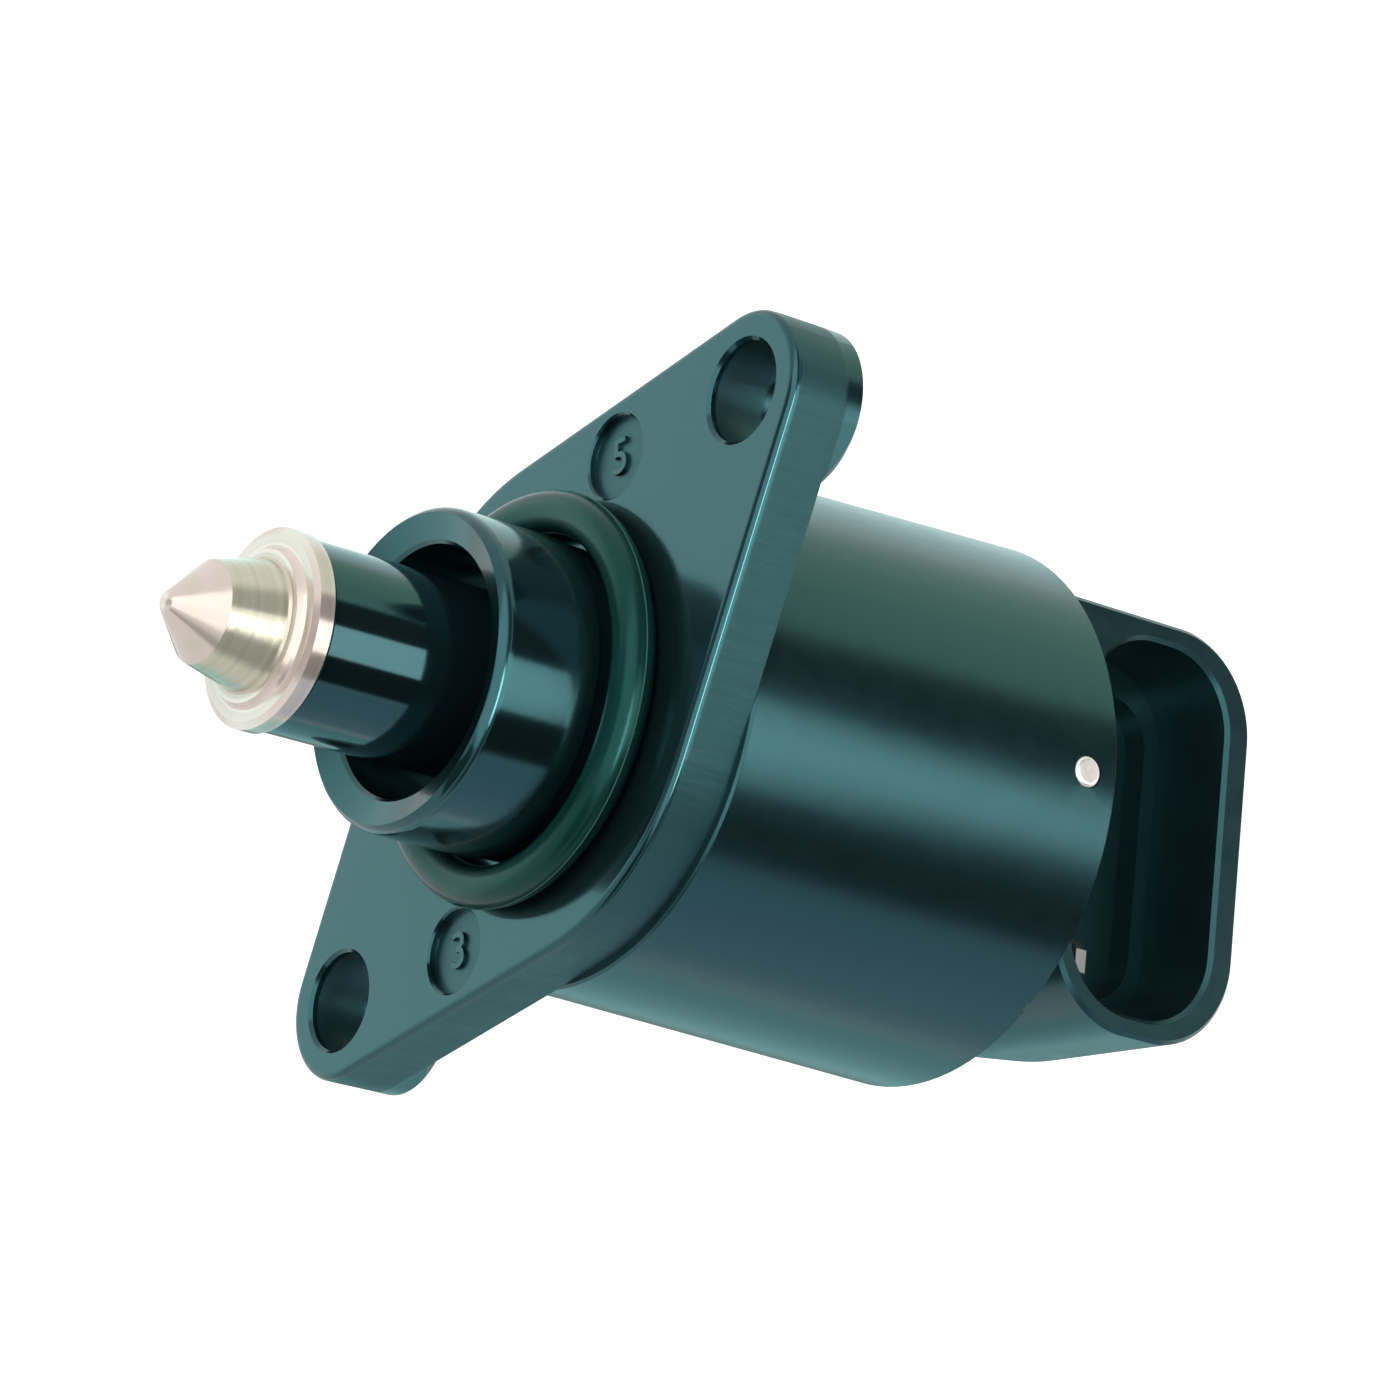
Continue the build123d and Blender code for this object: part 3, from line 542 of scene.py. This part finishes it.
def make_finishes():
    """Every finish, under its own name."""
    finishes = {
        "housing_plastic": housing_plastic(),
        "cap_plastic": cap_plastic(),
        "sleeve_plastic": sleeve_plastic(),
        "turned_metal": turned_metal(),
    }
    for make, looks in ((metal, METALS), (plain_plastic, PLASTICS), (seal_rubber, RUBBERS)):
        for name, look in looks.items():
            finishes[name] = make(name, *look)
    return finishes


def dress_nodes(finishes):
    """Gives every node its finish."""
    for finish, worn_by in WORN_BY.items():
        for name in worn_by:
            nodes[name].data.materials.clear()
            nodes[name].data.materials.append(finishes[finish])


def plain_mesh(shape):
    """The finished mesh of a shape that nodes or a curve make. The shape itself is removed."""
    graph = bpy.context.evaluated_depsgraph_get()
    mesh = bpy.data.meshes.new_from_object(shape.evaluated_get(graph))
    bpy.data.objects.remove(shape)
    return mesh


def keep_piece(name, mesh, body, material):
    """A plain piece in one material, at the origin, that moves with a body."""
    mesh.name = name
    mesh.materials.clear()
    mesh.materials.append(material)
    for face in mesh.polygons:
        face.material_index = 0
    piece = keep_in_scene(name, mesh)
    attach(piece, body)
    return piece


class Grower:
    """A tree of nodes with named inputs that makes a plain piece."""

    def __init__(self, name, inputs):
        self.name = name
        self.tree = bpy.data.node_groups.new(name, "GeometryNodeTree")
        inputs = {"Geometry": "Geometry", **inputs, "Material": "Material"}
        for label, kind in inputs.items():
            self.tree.interface.new_socket(label, in_out="INPUT", socket_type="NodeSocket" + kind)
        self.tree.interface.new_socket("Geometry", in_out="OUTPUT", socket_type="NodeSocketGeometry")
        self.given = add_node(self.tree, "NodeGroupInput", {}).outputs

    def add(self, kind, fed, **settings):
        """A node's first output, with the node's inputs fed from sockets or plain values."""
        return add_node(self.tree, kind, fed, **settings).outputs[0]

    def circle(self, points, radius):
        """A circle as a curve of so many points."""
        return self.add("GeometryNodeCurvePrimitiveCircle", {"Resolution": points, "Radius": radius})

    def close(self, shape):
        """Ends the tree with real geometry in one material."""
        real = self.add("GeometryNodeRealizeInstances", {"Geometry": shape})
        fed = {"Geometry": real, "Material": self.given["Material"]}
        dressed = self.add("GeometryNodeSetMaterial", fed)
        add_node(self.tree, "NodeGroupOutput", {0: dressed})

    def grow(self, name, values, body, start=None):
        """Runs the tree on a mesh, and keeps the outcome as a plain piece on a body."""
        base = keep_in_scene(name + "_base", start or bpy.data.meshes.new(name + "_base"))
        modifier = base.modifiers.new(self.name, "NODES")
        modifier.node_group = self.tree
        for item in self.tree.interface.items_tree:
            if item.in_out == "INPUT" and item.name in values:
                modifier[item.identifier] = values[item.name]
        return keep_piece(name, plain_mesh(base), body, values["Material"])


def ring_stack():
    """Rings of round wire, evenly spaced up the axis."""
    sizes = ("Start", "Pitch", "Radius", "Wire")
    g = Grower("ring_stack", {"Count": "Int", **{size: "Float" for size in sizes}})
    path = g.circle(TURN_STEPS, g.given["Radius"])
    wire = g.circle(WIRE_SIDES, g.given["Wire"])
    ring = g.add("GeometryNodeCurveToMesh", {"Curve": path, "Profile Curve": wire})
    first = g.add("ShaderNodeCombineXYZ", {"Z": g.given["Start"]})
    step = g.add("ShaderNodeCombineXYZ", {"Z": g.given["Pitch"]})
    fed = {"Count": g.given["Count"], "Start Location": first, "Offset": step}
    line = g.add("GeometryNodeMeshLine", fed)
    g.close(g.add("GeometryNodeInstanceOnPoints", {"Points": line, "Instance": ring}))
    return g


def add_winding_turns(rings, node_name, material):
    """The outer turns of a winding, partly sunk in the solid ring."""
    low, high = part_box(node_name)
    count = int((high.z - low.z) / WIRE)
    values = {
        "Count": count,
        "Start": (low.z + high.z - (count - 1) * WIRE) / 2,
        "Pitch": WIRE,
        "Radius": high.x - WIRE_SUNK,
        "Wire": WIRE / 2,
        "Material": material,
    }
    rings.grow(node_name + "_turns", values, "valve_body")


def add_ring_flash(rings, material):
    """The fine line that the mould's halves leave round the seal."""
    low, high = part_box("o_ring")
    values = {
        "Count": 1,
        "Start": (low.z + high.z) / 2,
        "Pitch": 0.0,
        "Radius": high.x,
        "Wire": FLASH,
        "Material": material,
    }
    rings.grow("o_ring_flash", values, "valve_body")


def lathe(name, outline):
    """A mesh turned about the axis from pairs of radius and height."""
    angles = [radians(360 * i / LATHE_STEPS) for i in range(LATHE_STEPS)]
    points = [(r * cos(a), r * sin(a), z) for a in angles for r, z in outline]
    rows = len(outline)
    faces = []
    for i in range(LATHE_STEPS):
        here = i * rows
        there = (i + 1) % LATHE_STEPS * rows
        for j in range(rows - 1):
            faces.append((here + j, there + j, there + j + 1, here + j + 1))
    faces.append(tuple(i * rows for i in reversed(range(LATHE_STEPS))))
    faces.append(tuple(i * rows + rows - 1 for i in range(LATHE_STEPS)))
    mesh = bpy.data.meshes.new(name)
    mesh.from_pydata(points, [], faces)
    return mesh


def thread_ridge():
    """A ridge that winds up round a core. The core comes in as the mesh that the tree runs on."""
    sizes = ("Turns", "Height", "Radius", "Depth", "Start")
    g = Grower("screw_thread", {size: "Float" for size in sizes})
    spiral = g.add("GeometryNodeCurveSpiral", {
        "Resolution": THREAD_STEPS,
        "Rotations": g.given["Turns"],
        "Start Radius": g.given["Radius"],
        "End Radius": g.given["Radius"],
        "Height": g.given["Height"],
        "Reverse": True,
    })
    level = g.add("GeometryNodeSetCurveNormal", {"Curve": spiral}, mode="Z_UP")
    profile = g.circle(RIDGE_SIDES, g.given["Depth"])
    ridge = g.add("GeometryNodeCurveToMesh", {"Curve": level, "Profile Curve": profile, "Fill Caps": True})
    move = g.add("ShaderNodeCombineXYZ", {"Z": g.given["Start"]})
    raised = g.add("GeometryNodeTransform", {"Geometry": ridge, "Translation": move})
    join = add_node(g.tree, "GeometryNodeJoinGeometry", {0: g.given["Geometry"]})
    g.tree.links.new(raised, join.inputs[0])
    g.close(join.outputs[0])
    return g


def add_thread(material):
    """The lead screw with its thread cut, in place of the plain cylinder."""
    low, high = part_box("lead_screw")
    major = high.x
    core = major - CORE_DEPTH
    thread_end = SCREW_SHOULDER - THREAD_START / 2
    outline = [
        (core - THREAD_DEPTH, low.z),
        (core, low.z + THREAD_DEPTH),
        (core, thread_end),
        (major, thread_end),
        (major, SCREW_SHOULDER),
        (SCREW_NECK, SCREW_SHOULDER),
        (SCREW_NECK, high.z),
    ]
    length = SCREW_SHOULDER - low.z - 2 * THREAD_START
    values = {
        "Turns": length / THREAD_LEAD,
        "Height": length,
        "Radius": major - THREAD_DEPTH,
        "Depth": THREAD_DEPTH,
        "Start": low.z + THREAD_START,
        "Material": material,
    }
    blank = lathe("screw_core", outline)
    screw = thread_ridge().grow("threaded_screw", values, "pintle", blank)
    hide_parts("lead_screw")


def add_mark(text, angle, material):
    """A plain raised number on the floor of a recess in the flange's face."""
    curve = bpy.data.curves.new("mark_" + text, "FONT")
    curve.body = text
    curve.size = MARK_HEIGHT
    curve.align_x = "CENTER"
    curve.align_y = "CENTER"
    curve.extrude = MARK_RELIEF
    curve.bevel_depth = MARK_EDGE
    mesh = plain_mesh(keep_in_scene("mark_" + text, curve))
    place = direction(angle, 0) * MARK_REACH
    place.z = MARK_FLOOR
    mesh.transform(Matrix.Translation(place) @ Matrix.Rotation(radians(MARK_LEAN), 4, "Z"))
    keep_piece("mark_" + text, mesh, "valve_body", material)


def add_details(marking):
    """Wire turns, a mould line and a thread, in the frame's own materials, and the flange's two numbers."""
    rings = ring_stack()
    add_winding_turns(rings, "front_winding", frame_materials["enamelled_wire"])
    add_winding_turns(rings, "rear_winding", frame_materials["enamelled_wire"])
    add_ring_flash(rings, frame_materials["green_rubber"])
    add_thread(frame_materials["bright_steel"])
    add_mark("5", MARK_ANGLE, marking)
    add_mark("3", MARK_ANGLE + 180, marking)


bpy.context.scene.view_settings.view_transform = "Standard"
make_camera()
make_world()
make_floor()
make_lights()
finishes = make_finishes()
dress_nodes(finishes)
add_details(finishes["housing_plastic"])
